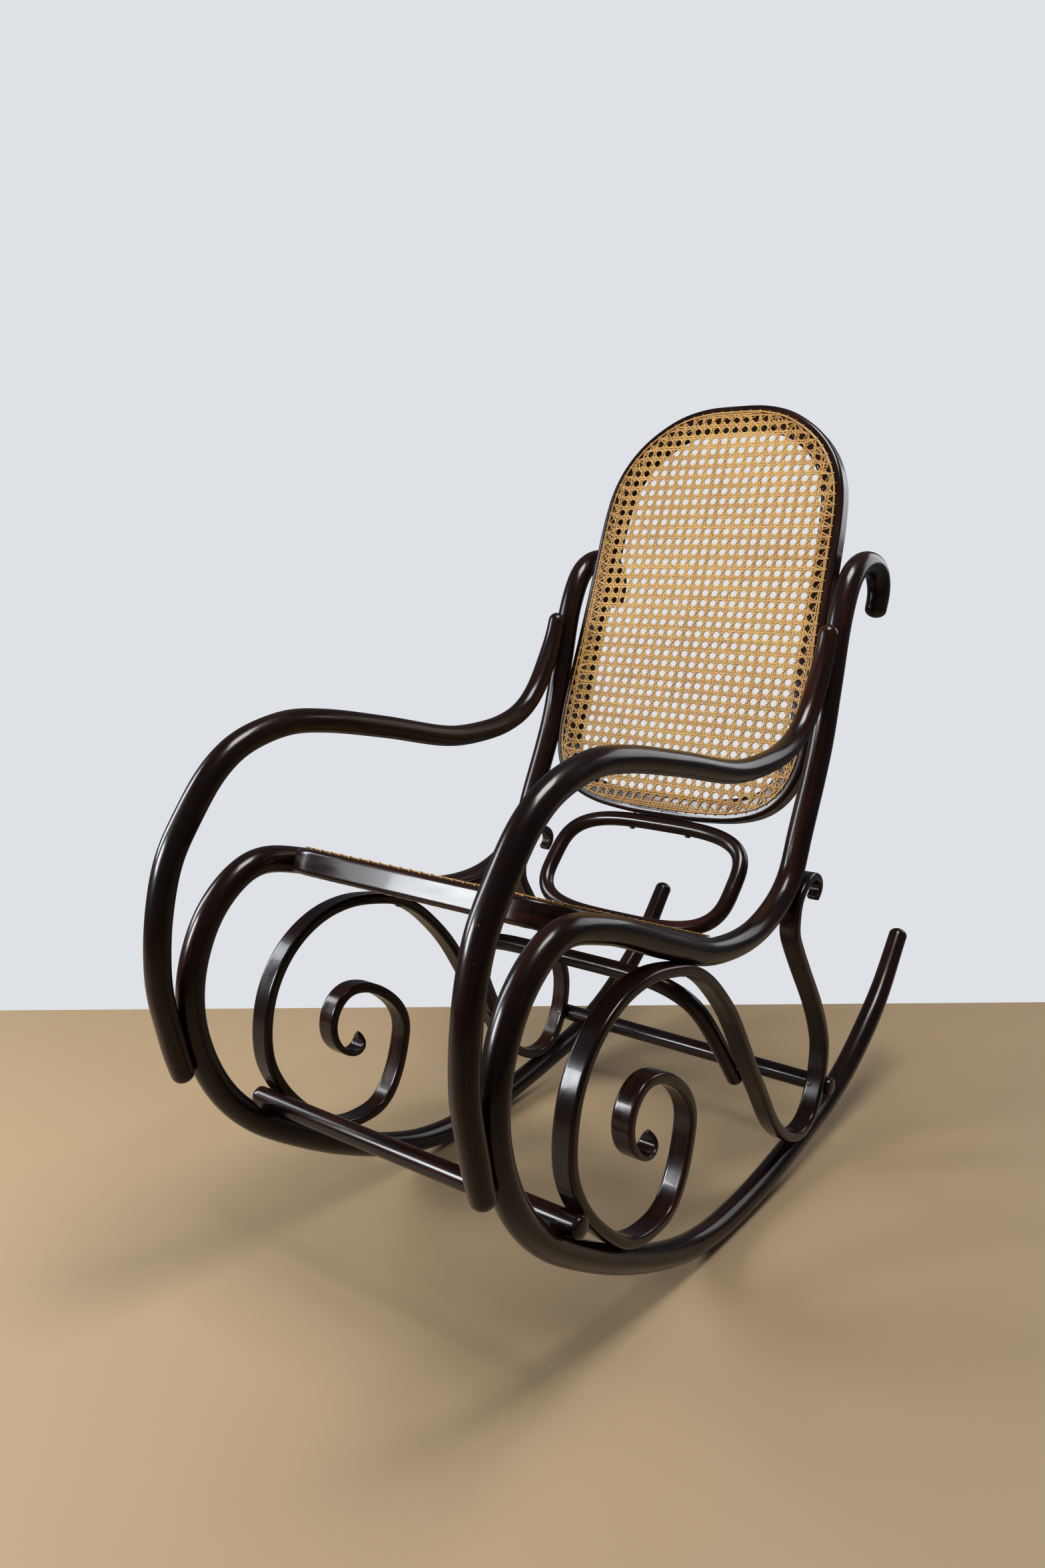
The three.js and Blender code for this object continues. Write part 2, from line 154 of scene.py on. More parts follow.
CANE_BASE = 1.1         # height of the weave's middle over the frame's face
BINDER_W = 3.2
BINDER_T = 1.1
BINDER_LIFT = 0.7       # over the weave's middle
BINDER_OUT = 0.7        # outward from the drilled holes
BINDER_STEP = 2.5
BINDER_WAVE = 0.0875    # height of the ripple along it
BINDER_WAVE_LENGTH = 2.9 * PITCH
TIE_ACROSS = [-3.0, -2.75, -2.2, -1.0, 1.0, 2.2, 2.75, 3.0]  # a tie's way over the binder
TIE_RISE = [-1.5, -0.4, 0.5, 0.8, 0.8, 0.5, -0.4, -1.5]
TIE_W = (1.9, 2.5)
LOOP_W = 2.3            # the loops from hole to hole, under the frame
LOOP_T = 0.7
LOOP_GAP = 0.15         # from the frame's underside to the middle of a loop's thickness
LOOP_SAG = 0.25         # how much further that is halfway along the loop
SEAT_SAG = 5
FRAME_SHADE_REACH = 34         # how far in from the drilled holes the cane is painted browner, as painted shade over the frame
BACK_SEED = 11
SEAT_SEED = 21

# ---- screws ----
SCREW_HEAD_R = 4.5
SCREW_RIM = 1.5         # the head's rim under the CAD screw's top
SCREW_SIDES = 28
SLOT_HALF = 0.55
SLOT_DEPTH = 1.0

# ---- grain, so that no two pieces show the same part of a pattern ----
ROD_GRAIN_STEP = 700.0
STRAND_GRAIN_SPREAD = 4000

# ---- camera: millimetres and degrees ----
CAMERA_AT = [891.1, -1333.4, 921.3]
AZIMUTH, PITCH_DOWN, ROLL = 37.29, 12.012, -0.451
LENS = 27.467
SENSOR = 36

# ---- stage and lamps: metres ----
FLOOR_END = 2.22        # from the camera, along its view
FLOOR_NEAR = -4
FLOOR_HALF = 5
FLOOR_COLOUR = (0.31, 0.22, 0.125, 1)
FLOOR_SHADE = 0.94
FLOOR_ROUGHNESS = 0.5
WALL_SEEN = (0.736, 0.754, 0.791, 1)
FLOOR_SEEN = (0.46, 0.34, 0.215, 1)     # of the world, below the floor's far edge
SEEN_FROM, SEEN_TO = 0.002, 0.012       # how far below it the world changes from wall to floor
WORLD_LIGHT = (0.86, 0.90, 1.0, 1)
WORLD_STRENGTH = 0.11
LAMPS = {               # place, target, size, watts, colour
    "key": ((-1.15, -2.0, 1.25), (0, 0, 0.5), (0.6, 0.65), 56, (0.92, 0.96, 1.0)),
    "window": ((-2.3, -1.2, 1.6), (0, 0, 0.6), (0.7, 1.3), 54, (0.90, 0.95, 1.0)),
    "ceiling": ((0.5, -0.1, 2.7), (0, 0, 0.3), (0.9, 0.9), 62, (1.0, 0.98, 0.95)),
    "rear": ((0.9, 2.3, 1.5), (0, 0, 0.5), (1.5, 1.2), 15, (0.95, 0.97, 1.0)),
}


# ---- planes and paths ----
stretcher_lo, stretcher_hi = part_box("front_stretcher")
SHIFT = (stretcher_lo.y + stretcher_hi.y) / 2 / MM - FRONT_STRETCHER[0]


def plane(origin, along, up):
    """A plane's origin and its axes: along it, up it and out of it."""
    e1 = np.array(along, float) / np.linalg.norm(along)
    e2 = np.array(up, float) / np.linalg.norm(up)
    return np.array(origin, float) + [0, SHIFT, 0], e1, e2, np.cross(e1, e2)


def in_plane(pl, p, q, w):
    """Points in space from distances along a plane's three axes."""
    o, e1, e2, e3 = pl
    p, q, w = (np.asarray(v, float)[..., None] for v in (p, q, w))
    return o + p * e1 + q * e2 + w * e3


def side_plane(x):
    return plane([x, 0, 0], [0, 1, 0], [0, 0, 1])


BACK_PLANE = plane(BACK_ORIGIN, [1, 0, 0], [0, math.sin(BACK_LEAN), math.cos(BACK_LEAN)])
SEAT_PLANE = plane(SEAT_ORIGIN, [1, 0, 0], [0, math.cos(SEAT_SLOPE), -math.sin(SEAT_SLOPE)])


def catmull(control, closed=False, per=24):
    """Points of the centripetal Catmull-Rom curve through the control points."""
    c = np.array(control, float)
    n = len(c)
    if closed:
        c = np.concatenate([c[-1:], c, c[:2]])
    else:
        c = np.concatenate([[2 * c[0] - c[1]], c, [2 * c[-1] - c[-2]]])
    t = np.linspace(0, 1, per, endpoint=False)[:, None]
    out = []
    for i in range(n if closed else n - 1):
        x0, x1, x2, x3 = c[i:i + 4]
        d0, d1, d2 = (math.sqrt(np.linalg.norm(b - a)) for a, b in ((x0, x1), (x1, x2), (x2, x3)))
        m1 = ((x1 - x0) / d0 - (x2 - x0) / (d0 + d1) + (x2 - x1) / d1) * d1
        m2 = ((x2 - x1) / d1 - (x3 - x1) / (d1 + d2) + (x3 - x2) / d2) * d1
        out.append(x1 + m1 * t + (-3 * x1 + 3 * x2 - 2 * m1 - m2) * t**2
                   + (2 * x1 - 2 * x2 + m1 + m2) * t**3)
    out = np.concatenate(out)
    return out if closed else np.concatenate([out, c[-2:-1]])


def resample(points, step, closed=False):
    """The same line with points at equal distances, close to step apart."""
    line = np.concatenate([points, points[:1]]) if closed else points
    run = np.concatenate([[0], np.cumsum(np.linalg.norm(np.diff(line, axis=0), axis=1))])
    count = max(2, round(run[-1] / step))
    at = np.linspace(0, run[-1], count, endpoint=False) if closed else \
        np.linspace(0, run[-1], count + 1)
    return np.stack([np.interp(at, run, line[:, k]) for k in range(line.shape[1])], 1)


def eased(points, spread, closed=False):
    """Evens out a line's curvature without pulling its bends in."""
    reach = int(3 * spread)
    weights = np.exp(-0.5 * (np.arange(-reach, reach + 1) / spread) ** 2)
    weights /= weights.sum()

    def blur(p):
        if closed:
            padded = np.concatenate([p[-reach:], p, p[:reach]])
        else:
            padded = np.concatenate([2 * p[0] - p[reach:0:-1], p, 2 * p[-1] - p[-2:-reach - 2:-1]])
        return np.stack([np.convolve(padded[:, k], weights, "valid") for k in (0, 1)], 1)

    once = blur(points)
    return 2 * once - blur(once)


def bend(control, closed=False, step=STEP, ease=14.0):
    """An even line through control points, with the curvature of bent wood."""
    line = resample(catmull(control, closed), step, closed)
    return resample(eased(line, ease / step, closed), step, closed)


def mirrored(half):
    """A closed outline from its half on the +X side."""
    return half + [[-x, s] for x, s in half[-2:0:-1]]


def tangents(line, closed=False):
    d = np.roll(line, -1, 0) - np.roll(line, 1, 0)
    if not closed:
        d[0] = line[1] - line[0]
        d[-1] = line[-1] - line[-2]
    return d / np.linalg.norm(d, axis=1)[:, None]


def inset(line, distance):
    """A closed line moved to its left by distance."""
    t = tangents(line, True)
    return line + distance * np.stack([-t[:, 1], t[:, 0]], 1)


# ---- sections: [across the plane, in the plane] ----
def disc(radius, sides=28):
    a = 2 * np.pi * np.arange(sides) / sides
    return np.stack([radius * np.cos(a), radius * np.sin(a)], 1)


def rounded_bar(width, height, radius, arc=6):
    """A rounded rectangle, with a point beside each corner so that its faces stay flat."""
    out = []
    for k, (sx, sy) in enumerate(((1, -1), (1, 1), (-1, 1), (-1, -1))):
        centre = np.array([sx * (width / 2 - radius), sy * (height / 2 - radius)])
        angles = np.linspace(0, np.pi / 2, arc + 1) + (k - 1) * np.pi / 2
        corner = centre + radius * np.stack([np.cos(angles), np.sin(angles)], 1)
        lead = 0.25 * radius
        out += [corner[0] - lead * np.array([-np.sin(angles[0]), np.cos(angles[0])]), *corner,
                corner[-1] + lead * np.array([-np.sin(angles[-1]), np.cos(angles[-1])])]
    return np.array(out)


# ---- objects and meshes ----
def new_object(name, data):
    obj = bpy.data.objects.new(name, data)
    bpy.context.scene.collection.objects.link(obj)
    return obj


def stand_for(obj, nodes):
    """Hangs an object under the root body and hides the CAD nodes that it stands for."""
    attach(obj, "root")
    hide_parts(*nodes)


def make(name, verts, faces, material, nodes, grain, tone_and_shade=None):
    """A piece from vertices in millimetres, with its grain coordinates and shade of colour."""
    mesh = bpy.data.meshes.new(name)
    mesh.from_pydata((np.asarray(verts) * MM).tolist(), [], [list(map(int, f)) for f in faces])
    layer = mesh.attributes.new("grain", "FLOAT_VECTOR", "POINT")
    layer.data.foreach_set("vector", (grain * MM).astype(np.float32).ravel())
    if tone_and_shade is not None:
        layer = mesh.attributes.new("tone_and_shade", "FLOAT", "POINT")
        layer.data.foreach_set("value", np.asarray(tone_and_shade, np.float32))
    mesh.polygons.foreach_set("use_smooth", [True] * len(mesh.polygons))
    mesh.materials.append(material)
    stand_for(new_object(name, mesh), nodes)


DOME = np.array([0.3, 0.55, 0.75, 0.89, 0.97, 0.999])  # rings of a domed end, in its height


def sweep(line, pl, section, closed=False, cap=0.0, scale=None):
    """Vertices, faces and grain coordinates of a section swept along a planar line.

    An open line gets domed ends that stand out by cap. scale gives the section's size across the
    plane and in it, from the share of the line's length.
    """
    t = tangents(line, closed)
    size = np.ones((len(line), 2)) if scale is None else scale(np.linspace(0, 1, len(line)))
    centre = line
    if not closed:
        shrink = np.sqrt(1 - DOME**2)
        centre = np.concatenate([line[0] - t[0] * cap * DOME[::-1, None], line,
                                 line[-1] + t[-1] * cap * DOME[:, None]])
        size = np.concatenate([size[0] * shrink[::-1, None], size, size[-1] * shrink[:, None]])
        t = np.concatenate([np.repeat(t[:1], len(DOME), 0), t, np.repeat(t[-1:], len(DOME), 0)])
    n = np.stack([-t[:, 1], t[:, 0]], 1)
    rings, m = len(centre), len(section)
    across = size[:, :1] * section[None, :, 0]
    inward = size[:, 1:] * section[None, :, 1]
    p = centre[:, None, 0] + n[:, None, 0] * inward
    q = centre[:, None, 1] + n[:, None, 1] * inward
    verts = in_plane(pl, p, q, across).reshape(-1, 3)
    run = np.concatenate([[0], np.cumsum(np.linalg.norm(np.diff(centre, axis=0), axis=1))])
    grain = np.stack([np.broadcast_to(run[:, None], across.shape), across, inward], 2).reshape(-1, 3)
    i = np.arange(rings if closed else rings - 1)[:, None]
    j = np.arange(m)[None, :]
    r0, r1, k = i * m, ((i + 1) % rings) * m, (j + 1) % m
    faces = np.stack([r0 + j, r1 + j, r1 + k, r0 + k], 2).reshape(-1, 4).tolist()
    if not closed:
        faces.append(list(range(m)))
        faces.append(list(range(rings * m - 1, (rings - 1) * m - 1, -1)))
    return verts, faces, grain


rod_numbers = itertools.count(1)


def rod(name, line, pl, section, **shape):
    """A bent piece of lacquered wood. Each has its own part of the grain pattern."""
    verts, faces, grain = sweep(line, pl, section, **shape)
    make(name, verts, faces, WOOD, [name], grain + ROD_GRAIN_STEP * next(rod_numbers))


# ---- materials ----
class Nodes:
    """A short way to write a node tree: each call adds a node and returns its output."""

    def __init__(self, name):
        self.material = bpy.data.materials.new(name)
        self.material.use_nodes = True
        self.tree = self.material.node_tree
        self.shader = self.tree.nodes["Principled BSDF"]

    def add(self, kind, inputs=None, output=0, **settings):
        node = self.tree.nodes.new(kind)
        for key, value in settings.items():
            setattr(node, key, value)
        for key, value in (inputs or {}).items():
            self.put(node.inputs[key], value)
        return node.outputs[output]

    def put(self, socket, value):
        if isinstance(value, bpy.types.NodeSocket):
            self.tree.links.new(value, socket)
        else:
            socket.default_value = value

    def place(self):
        return self.add("ShaderNodeTexCoord", output="Object")

    def attribute(self, name, output="Vector"):
        return self.add("ShaderNodeAttribute", output=output, attribute_name=name)

    def scaled(self, vector, scale):
        return self.add("ShaderNodeMapping", {"Vector": vector, "Scale": scale})

    def noise(self, vector, scale, detail=4.0, rough=0.55, distortion=0.0):
        return self.add("ShaderNodeTexNoise", {
            "Vector": vector, "Scale": scale, "Detail": detail, "Roughness": rough,
            "Distortion": distortion})

    def remap(self, value, low, high, to_low=0.0, to_high=1.0):
        return self.add("ShaderNodeMapRange", {
            "Value": value, "From Min": low, "From Max": high, "To Min": to_low, "To Max": to_high})

    def math(self, operation, a, b):
        return self.add("ShaderNodeMath", {0: a, 1: b}, operation=operation)

    def mix(self, factor, a, b):
        node = self.tree.nodes.new("ShaderNodeMix")
        node.data_type = "RGBA"
        for socket, value in ((node.inputs[0], factor), (node.inputs[6], a), (node.inputs[7], b)):
            self.put(socket, value)
        return node.outputs[2]

    def bump(self, height, strength, distance, normal=None):
        inputs = {"Height": height, "Strength": strength, "Distance": distance}
        if normal is not None:
            inputs["Normal"] = normal
        return self.add("ShaderNodeBump", inputs)

    def set(self, **sockets):
        for key, value in sockets.items():
            self.put(self.shader.inputs[key.replace("_", " ")], value)


def lacquered_wood():
    """Nearly black mahogany stain under gloss lacquer; the red-brown wood shows through in streaks."""
    n = Nodes("lacquered_wood")
    grain = n.attribute("grain")
    streaks = n.noise(n.scaled(grain, (9, 210, 210)), 1.0, 7.0, 0.6, 0.3)
    pores = n.noise(n.scaled(grain, (45, 1300, 1300)), 1.0, 3.0, 0.6)
    clouds = n.noise(n.scaled(grain, (5, 14, 14)), 1.0, 3.0)
    stain, red_brown = (0.0050, 0.0023, 0.0018, 1), (0.032, 0.0078, 0.0040, 1)
    pore, bare_wood = (0.003, 0.0015, 0.001, 1), (0.20, 0.062, 0.022, 1)
    worn = n.math("MULTIPLY", n.remap(streaks, 0.42, 0.72), n.remap(clouds, 0.38, 0.66))
    colour = n.mix(worn, stain, red_brown)
    colour = n.mix(n.remap(pores, 0.60, 0.75, 0.0, 0.6), colour, pore)
    chips = n.noise(n.scaled(grain, (120, 420, 420)), 1.0, 2.0)
    sparse = n.noise(n.scaled(grain, (11, 30, 30)), 1.0, 1.0)
    bare = n.math("MULTIPLY", n.remap(chips, 0.735, 0.76), n.remap(sparse, 0.56, 0.62))
    colour = n.mix(bare, colour, bare_wood)
    smears = n.noise(n.scaled(grain, (16, 60, 60)), 1.0, 4.0)
    ripple = n.noise(n.scaled(grain, (14, 95, 95)), 1.0, 2.0)
    fine = n.bump(pores, 0.16, 0.0003)
    n.set(Base_Color=colour, Roughness=n.remap(smears, 0.3, 0.7, 0.17, 0.27),
          Normal=n.bump(ripple, 0.10, 0.0010, fine),
          IOR=1.5, Specular_IOR_Level=0.20, Coat_Weight=0.14, Coat_Roughness=0.05)
    return n.material


def cane():
    """Rattan skin: a shiny straw-coloured strand, browner in random patches and, as painted shade, near
    the frame, with long fine fibres.
    """
    n = Nodes("cane")
    grain = n.attribute("grain")
    tone_and_shade = n.attribute("tone_and_shade", "Fac")
    fibres = n.noise(n.scaled(grain, (30, 2600, 900)), 1.0, 4.0, 0.6)
    patches = n.noise(n.scaled(grain, (22, 60, 60)), 1.0, 3.0)
    aged = n.noise(n.place(), 7.0, 3.0, 0.5)
    light, dark, fibre = (0.455, 0.268, 0.06, 1), (0.235, 0.112, 0.023, 1), (0.22, 0.09, 0.022, 1)
    # The strand attribute holds each strand's random colour and the painted shade near the frame; higher
    # is browner.
    mixed = n.math("ADD", n.remap(tone_and_shade, 0.0, 2.0), n.remap(patches, 0.35, 0.7, 0.0, 0.35))
    colour = n.mix(n.math("ADD", mixed, n.remap(aged, 0.45, 0.7, 0.0, 0.25)), light, dark)
    colour = n.mix(n.remap(fibres, 0.55, 0.8, 0.0, 0.35), colour, fibre)
    n.set(Base_Color=colour, Roughness=n.remap(fibres, 0.3, 0.7, 0.3, 0.48),
          Normal=n.bump(fibres, 0.25, 0.00015),
          Specular_IOR_Level=0.35, Coat_Weight=0.09, Coat_Roughness=0.2)
    return n.material


def screw_steel():
    """Darkened steel with turning marks."""
    n = Nodes("screw_steel")
    place = n.place()
    turned = n.noise(n.scaled(place, (900, 900, 4200)), 1.0, 3.0)
    spots = n.noise(place, 700.0, 3.0)
    steel, darkened = (0.085, 0.075, 0.066, 1), (0.03, 0.02, 0.014, 1)
    n.set(Base_Color=n.mix(n.remap(spots, 0.45, 0.7), steel, darkened),
          Roughness=n.remap(spots, 0.3, 0.7, 0.28, 0.5),
          Normal=n.bump(turned, 0.2, 0.0002), Metallic=0.9)
    return n.material


WOOD = lacquered_wood()
CANE = cane()
STEEL = screw_steel()


# ---- bent rods ----
def grown(share, x):
    """From a share of full thickness at x = 0, smoothly to full at x = 1."""
    x = np.clip(x, 0, 1)
    return share + (1 - share) * x * x * (3 - 2 * x)


def bell(x, width):
    """1 at x = 0, falling away on both sides."""
    return np.exp(-0.5 * (x / width) ** 2)


def narrowed(start, end, reach_start, reach_end):
    """A rod's size along it: a share of full at each tip, growing to full within a reach."""
    def scale(u):
        size = grown(start, u / reach_start) * grown(end, (1 - u) / reach_end)
        return np.stack([size, size], 1)
    return scale


def arm_scale(u):
    """The arm is a little fuller round its front bend."""
    bend_at, bend_width, fuller = 0.7, 0.12, 0.11
    return narrowed(*ARM_ENDS)(u) * (1 + fuller * bell(u - bend_at, bend_width))[:, None]


def scroll_scale(u):
    """The strip is slimmer at its hook, and ends in the curl as a thin leaf with a rounded point."""
    hook = grown(0.62, u / 0.05)
    leaf = np.clip((1 - u) / LEAF_REACH, 0, 1)
    width = np.sqrt(np.clip(1 - (1 - leaf) ** 2, LEAF_TIP, 1))
    return np.stack([hook * width, hook * grown(0.36, (1 - u) / 0.07)], 1)


def add_sides():
    for suffix, sign in (("left", 1), ("right", -1)):
        side = side_plane(sign * SIDE_X)
        runner = bend(SIDE_PATH)
        runner[:, 1] = np.maximum(runner[:, 1], SIDE_R)
        rod(f"side_member_{suffix}", runner, side, disc(SIDE_R),
            cap=SIDE_CAP, scale=narrowed(*SIDE_ENDS))
        rod(f"arm_{suffix}", bend(ARM_PATH), side, disc(ARM_R), cap=ARM_CAP, scale=arm_scale)
        rod(f"scroll_{suffix}", bend(SCROLL_PATH, step=3, ease=9), side_plane(sign * SCROLL_X),
            rounded_bar(STRIP_W, STRIP_T, STRIP_ROUND), cap=SCROLL_CAP, scale=scroll_scale)


def add_stretchers():
    half = STRETCHER_HALF - STRETCHER_CAP
    line = resample(np.array([[-half, 0.0], [half, 0.0]]), 6)
    for name, (y, z) in (("front_stretcher", FRONT_STRETCHER), ("rear_stretcher", REAR_STRETCHER)):
        across = plane([0, y, z], [1, 0, 0], [0, 0, 1])
        rod(name, line, across, disc(STRETCHER_R), cap=STRETCHER_CAP)


def add_arch():
    other_half = [[-x, s] for x, s in ARCH_HALF[:0:-1]]
    lean = [0, -math.sin(ARCH_LEAN), math.cos(ARCH_LEAN)]
    rod("under_seat_arch", bend(other_half + ARCH_HALF), plane(ARCH_ORIGIN, [1, 0, 0], lean),
        disc(ARCH_R), cap=ARCH_CAP)


def add_ring():
    """The lumbar ring: a squarish oval in the plane from its lowest point to its highest."""
    bottom, top = np.array(RING_BOTTOM), np.array(RING_TOP)
    rise, middle = top - bottom, (top + bottom) / 2
    a = 2 * np.pi * np.arange(64) / 64
    bulge = [np.sign(f(a)) * np.abs(f(a)) ** (2 / RING_POWER) for f in (np.cos, np.sin)]
    outline = np.stack([RING_HALF * bulge[0], np.linalg.norm(rise) / 2 * bulge[1]], 1)
    rod("lumbar_ring", bend(outline, closed=True, ease=8), plane([0, *middle], [1, 0, 0], [0, *rise]),
        disc(RING_R), closed=True)


# ---- caned frames ----
def seat_outline():
    """The seat's outline, from the middle of its front edge towards +X and round."""
    half, front, rear = SEAT_HALF, SEAT_FRONT_R, SEAT_REAR_R
    turn = np.linspace(0, np.pi / 2, 13)
    right = [[0, 0]]
    right += [[half - front + front * math.sin(a), front - front * math.cos(a)] for a in turn]
    right += [[half - rear + rear * math.cos(a), SEAT_LENGTH - rear + rear * math.sin(a)]
              for a in turn]
    right += [[0, SEAT_LENGTH]]
    line = np.array(right + [[-x, s] for x, s in right[-2:0:-1]])
    return resample(line, STEP, True)


def back_outline():
    """The back's outline, turned the same way as the seat's."""
    return bend(mirrored(BACK_HALF), closed=True, ease=12)[::-1]


def crossings(outline, point, direction):
    """Distances along a line where it enters and leaves a convex outline."""
    a = outline - point
    b = np.roll(outline, -1, 0) - outline
    det = direction[0] * b[:, 1] - direction[1] * b[:, 0]
    det = np.where(np.abs(det) < 1e-9, 1e-9, det)
    t = (a[:, 0] * b[:, 1] - a[:, 1] * b[:, 0]) / det
    u = (a[:, 0] * direction[1] - a[:, 1] * direction[0]) / det
    hit = t[(u >= 0) & (u < 1)]
    return (hit.min(), hit.max()) if len(hit) >= 2 else None


class Strands:
    """Collects flat strands of cane into one mesh."""

    def __init__(self, seed):
        self.verts, self.faces, self.grain, self.tone_and_shade = [], [], [], []
        self.count = 0
        self.random = np.random.default_rng(seed)

    def add(self, pl, centre, height, width, thickness, closed=False, aged=0.5):
        """A strand along centre, [p, q] in the plane, its middle at the given heights.

        The last argument gives how brown it is, from 0 to 1, along it or all over; the weave passes
        painted shade in it, browner near the frame.
        """
        t = tangents(centre, closed)
        n = np.stack([-t[:, 1], t[:, 0]], 1)
        shape = np.array(STRAND_SHAPE)
        a, h = width * shape[:, 0], thickness * shape[:, 1]
        p = centre[:, None, 0] + n[:, None, 0] * a
        q = centre[:, None, 1] + n[:, None, 1] * a
        verts = in_plane(pl, p, q, np.asarray(height)[:, None] + h).reshape(-1, 3)
        run = np.concatenate([[0], np.cumsum(np.linalg.norm(np.diff(centre, axis=0), axis=1))])
        offset = self.random.uniform(0, STRAND_GRAIN_SPREAD, 3)
        grain = np.stack([np.broadcast_to(run[:, None], p.shape), np.broadcast_to(a, p.shape),
                          np.broadcast_to(h, p.shape)], 2).reshape(-1, 3) + offset
        rings = len(centre)
        i = np.arange(rings if closed else rings - 1)[:, None]
        j = np.arange(4)[None, :]
        r0, r1, k = 4 * i, 4 * ((i + 1) % rings), (j + 1) % 4
        faces = (np.stack([r0 + j, r0 + k, r1 + k, r1 + j], 2).reshape(-1, 4) + self.count).tolist()
        if not closed:
            last = self.count + 4 * (rings - 1)
            faces.append([self.count + v for v in (3, 2, 1, 0)])
            faces.append([last + v for v in range(4)])
        self.verts.append(verts)
        self.grain.append(grain)
        self.faces += faces
        # Each strand gets a random colour, plus the brownness given, which the weave uses for painted
        # shade near the frame.
        self.tone_and_shade.append(self.random.uniform() + np.repeat(np.broadcast_to(aged, rings), 4))
        self.count += len(verts)

    def piece(self, name, node):
        make(name, np.concatenate(self.verts), self.faces, CANE, [node],
             np.concatenate(self.grain), np.concatenate(self.tone_and_shade))


def fold(x):
    """Distance to the nearest multiple of the pitch."""
    return (x + PITCH / 2) % PITCH - PITCH / 2


def pair_height(distance, side):
    """A strand's height where it meets pairs of strands: over one of a pair and under the other."""
    v = fold(distance)
    return side * WEAVE_LIFT * (bell(v - PAIR_HALF, WEAVE_BEND) - bell(v + PAIR_HALF, WEAVE_BEND))


def weave(outline, holes, pl, sag, seed):
    """The six-way pattern: two uprights and two cross strands to a hole, and a diagonal each way."""
    holes_line = inset(outline, HOLE_LINE)
    lo, hi = holes_line.min(0), holes_line.max(0)
    wobble = np.random.default_rng(seed)

    def sagging(points):
        x, y = ((points - (lo + hi) / 2) / ((hi - lo) / 2)).T
        return -sag * np.clip(1 - x**2, 0, 1) * np.clip(1 - y**2, 0, 1)

    def run(strands, point, direction, stops, height, width):
        """One strand through a point, between the drilled holes nearest its two ends."""
        reach = crossings(holes_line, point, direction)
        if reach is None or reach[1] - reach[0] < SHORTEST_RUN * PITCH:
            return
        inner = stops[(stops > reach[0] + END_CLEAR) & (stops < reach[1] - END_CLEAR)]
        at = np.concatenate([[reach[0]], inner, [reach[1]]])
        centre = point + at[:, None] * direction
        z = CANE_BASE + height(centre)
        for end, along in ((0, at - reach[0]), (-1, reach[1] - at)):
            gap = holes - centre[end]
            pull = gap[np.argmin((gap**2).sum(1))]
            near = grown(0, 1 - along / (PULL_REACH * PITCH))
            centre = centre + near[:, None] * pull
            z = z * (1 - near) + near * (CANE_BASE + LEFT_AT_HOLE * height(centre))
        away = np.sqrt(((centre[:, None] - holes[None]) ** 2).sum(2).min(1))
        # Painted shade: each strand is drawn browner within reach of the drilled holes, where it lies
        # over the frame.
        strands.add(pl, centre, z + sagging(centre), width * wobble.uniform(*WIDTH_WOBBLE), STRAND_T,
                    aged=1 - grown(0, away / FRAME_SHADE_REACH))

    uprights, crosses, diagonals = Strands(seed), Strands(seed + 1), Strands(seed + 2)
    steps = np.array([0, PAIR_HALF, PAIR_HALF + CROSSED, PITCH / 2, PITCH - PAIR_HALF - CROSSED,
                      PITCH - PAIR_HALF])
    far, diagonals_each_way = 60, 80    # well past either edge
    grid = (np.arange(-far, far + 1)[:, None] * PITCH + steps).ravel()
    start = (0.0, ROWS_FROM)
    for strands, across, along, over in ((uprights, 0, 1, 1), (crosses, 1, 0, -1)):
        first = math.floor((lo[across] - start[across]) / PITCH)
        last = math.ceil((hi[across] - start[across]) / PITCH)
        for i in range(first, last + 1):
            for side in (-1, 1):
                point, direction = np.zeros(2), np.zeros(2)
                point[across] = (start[across] + i * PITCH + side * PAIR_HALF
                                 + wobble.uniform(-PLACE_WOBBLE, PLACE_WOBBLE))
                direction[along] = 1
                run(strands, point, direction, grid + start[along],
                    lambda c: pair_height(c[:, along] - start[along], over * side), STRAND_W)
    slant = math.sqrt(0.5)
    eighths = (np.arange(-8 * far, 8 * far + 1) * PITCH / 8) / slant
    for way in (1, -1):
        for k in range(-diagonals_each_way, diagonals_each_way + 1):
            offset = (k + 0.5) * PITCH + ROWS_FROM + wobble.uniform(-DIAGONAL_WOBBLE, DIAGONAL_WOBBLE)
            run(diagonals, np.array([0.0, offset]), np.array([slant, way * slant]), eighths,
                lambda c: way * DIAGONAL_LIFT * np.cos(2 * np.pi * c[:, 0] / PITCH), DIAGONAL_W)
    return {"uprights": uprights, "crosses": crosses, "diagonals": diagonals}


def bind(outline, holes, pl, seed):
    """The thick strand that covers the holes, with a thin tie over it at each hole."""
    binder = Strands(seed)
    height = CANE_BASE + BINDER_LIFT
    line = resample(inset(outline, HOLE_LINE - BINDER_OUT), BINDER_STEP, True)
    wave = BINDER_WAVE * np.sin(2 * np.pi * np.arange(len(line)) * BINDER_STEP / BINDER_WAVE_LENGTH)
    binder.add(pl, line, height + wave, BINDER_W, BINDER_T, closed=True)
    t = tangents(holes, True)
    inward = np.stack([-t[:, 1], t[:, 0]], 1)
    across = np.array(TIE_ACROSS) - BINDER_OUT
    for hole, way in zip(holes, inward):
        binder.add(pl, hole + across[:, None] * way, height + np.array(TIE_RISE),
                   binder.random.uniform(*TIE_W), STRAND_T)
    return binder


def loops(holes, pl, thickness, seed):
    """The strands that run from hole to hole under the frame."""
    under = Strands(seed)
    share = np.linspace(0.04, 0.96, 6)[:, None]
    lift = -thickness - LOOP_GAP - LOOP_SAG * np.sin(np.pi * share[:, 0])
    for a, b in zip(holes, np.roll(holes, -1, 0)):
        under.add(pl, a + (b - a) * share, lift, LOOP_W, LOOP_T)
    return under


